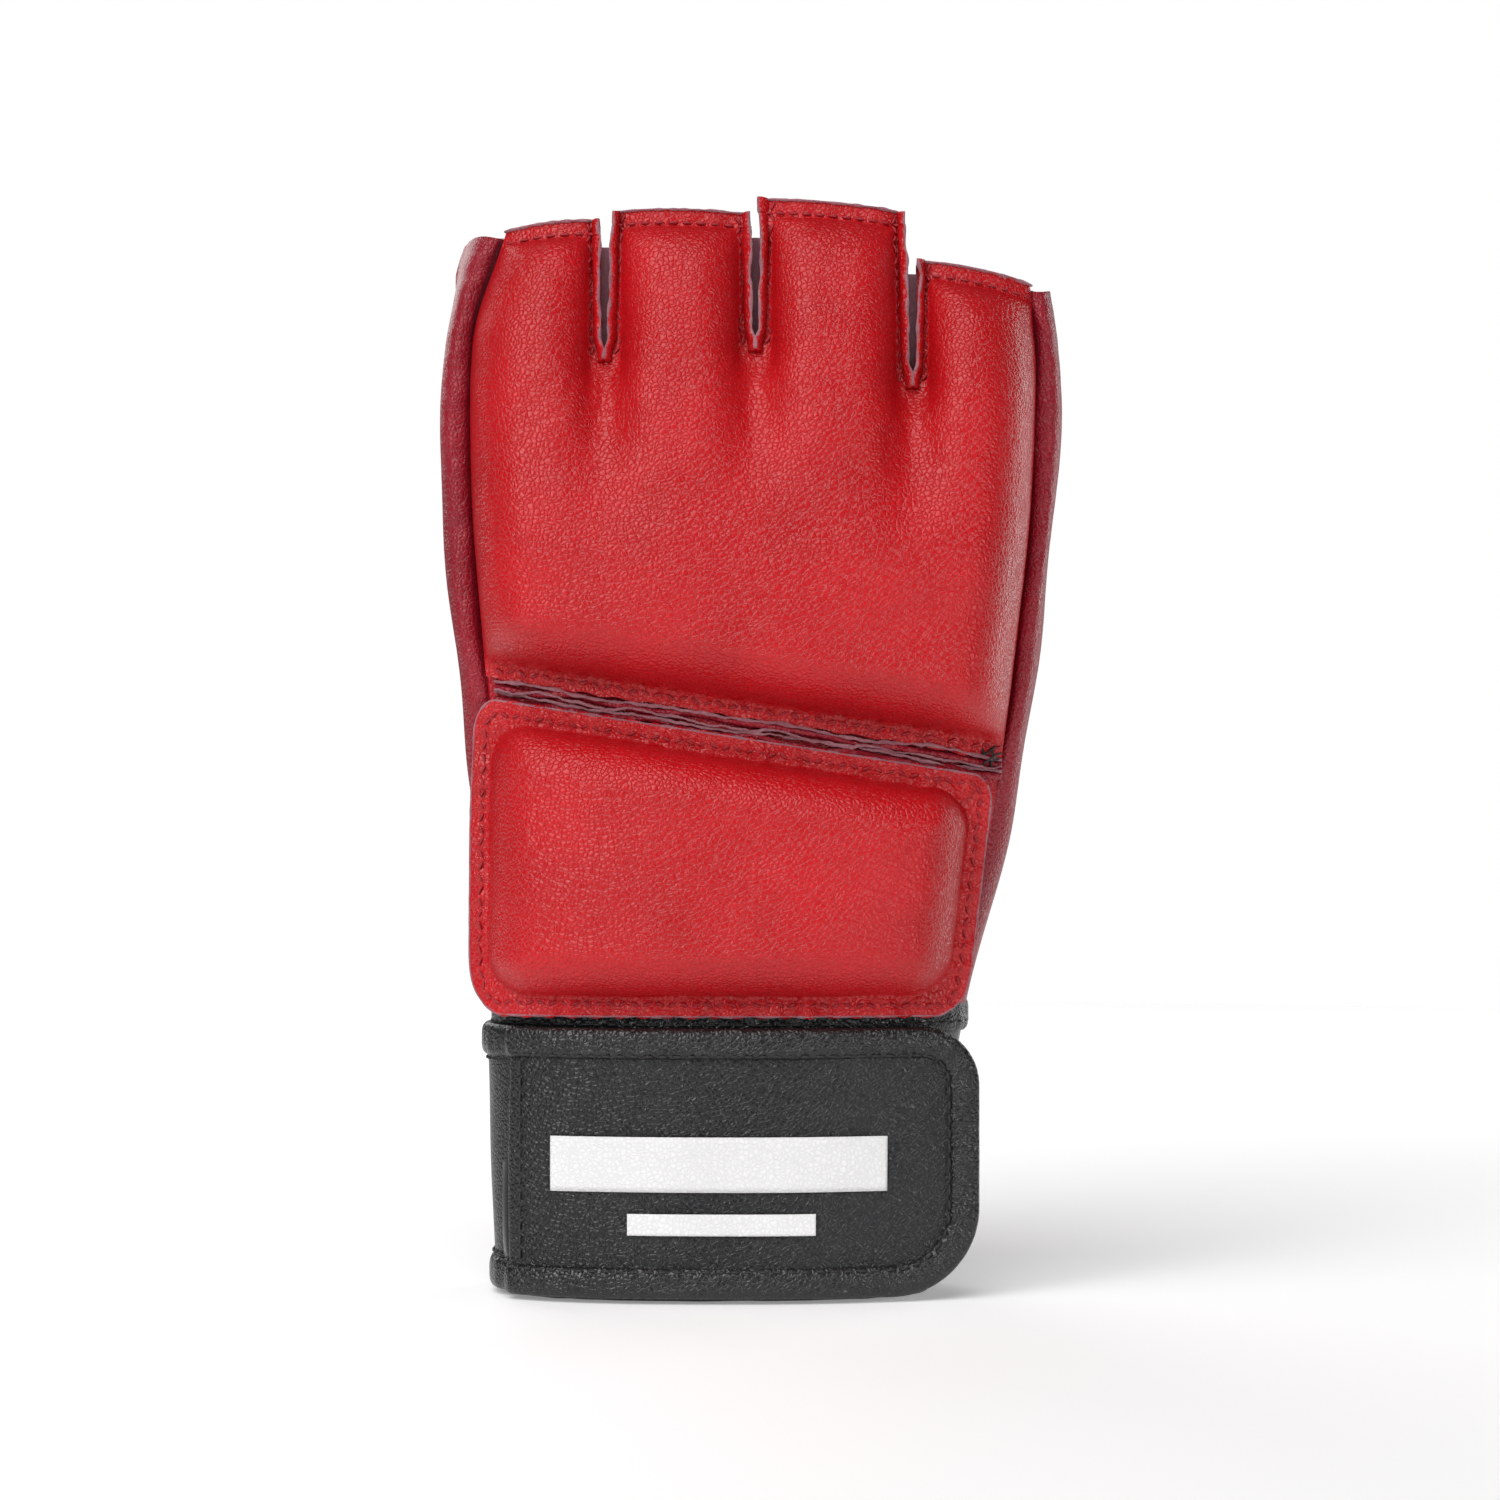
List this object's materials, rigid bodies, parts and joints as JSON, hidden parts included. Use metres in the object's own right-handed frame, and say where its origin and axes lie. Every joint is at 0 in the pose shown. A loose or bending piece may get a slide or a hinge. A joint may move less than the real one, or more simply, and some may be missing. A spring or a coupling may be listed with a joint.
{
  "type": "mma glove",
  "caption": "open-finger grappling glove for the right hand: padded knuckle and wrist panels, thumb and palm openings, vented finger loops and a wrap-around wrist strap",
  "frame": {"origin": "middle of the bottom of the glove's box, in the plane of the cuff rim that it stands on", "axes": "+Z from the cuff to the finger ends, -Y out of the back of the hand, +X to the little finger's side"},
  "size_m": [0.1298, 0.0622, 0.225],
  "materials": {
    "pad_leather": "soft satin, fine pebble grain, lightly creased",
    "palm_leather": "soft satin, fine pebble grain, gathered at the fingers",
    "gusset_leather": "soft satin, darker at the rolled seams",
    "foam": "closed-cell padding foam",
    "suede": "brushed split suede, raw cut edges",
    "red_fabric": "gathered knitted lining fabric",
    "elastic_webbing": "ribbed woven elastic",
    "cuff_leather": "coated synthetic leather, fine grain",
    "binding": "folded glossy binding tape, stitched",
    "black_lining": "knitted lining",
    "hook_and_loop": "hook and loop tape",
    "label": "blank woven label",
    "print": "screen-printed plain bars"
  },
  "bodies": {
    "glove": {"cuff_band": "cuff_leather", "cuff_lining": "black_lining", "cuff_rim_binding": "binding", "cuff_top_binding": "binding", "loop_patch": "hook_and_loop", "strap_base": "cuff_leather", "strap_base_bindings": "binding", "vent_binding": "binding", "wrist_elastic": "elastic_webbing", "gathered_fabric": "red_fabric", "back_lining": "suede", "back_panel": "palm_leather", "wrist_pad_foam": "foam", "wrist_pad_cover": "pad_leather", "seam_welt": "suede", "knuckle_pad_foam": "foam", "knuckle_pad_cover": "pad_leather", "index_gusset": "gusset_leather", "little_gusset": "gusset_leather", "index_piping": "gusset_leather", "little_piping": "gusset_leather", "palm_shell": "palm_leather", "palm_gathers": "palm_leather", "thumb_ring": "palm_leather", "palm_opening_facing": "palm_leather"},
    "fingers": {"index_foam": "foam", "middle_foam": "foam", "ring_foam": "foam", "little_foam": "foam", "index_cover": "pad_leather", "middle_cover": "pad_leather", "ring_cover": "pad_leather", "little_cover": "pad_leather", "index_sleeve": "palm_leather", "middle_sleeve": "palm_leather", "ring_sleeve": "palm_leather", "little_sleeve": "palm_leather", "index_lining": "suede", "middle_lining": "suede", "ring_lining": "suede", "little_lining": "suede"},
    "strap": {"strap_flap": "cuff_leather", "strap_flap_lining": "black_lining", "strap_flap_binding": "binding", "strap_emblem": "print", "hook_patch": "hook_and_loop", "size_label": "label"}
  },
  "joints": [
    {"name": "finger_curl", "type": "hinge", "parent": "glove", "child": "fingers", "pos_m": [-0.00111, 0.00642, 0.178], "axis": [-1, 0, 0], "range_deg": [0, 45], "deforming": ["palm_gathers"]},
    {"name": "strap_open", "type": "hinge", "parent": "glove", "child": "strap", "pos_m": [-0.05011, -0.01098, 0.027], "axis": [0, 0, -1], "range_deg": [0, 150]}
  ]
}
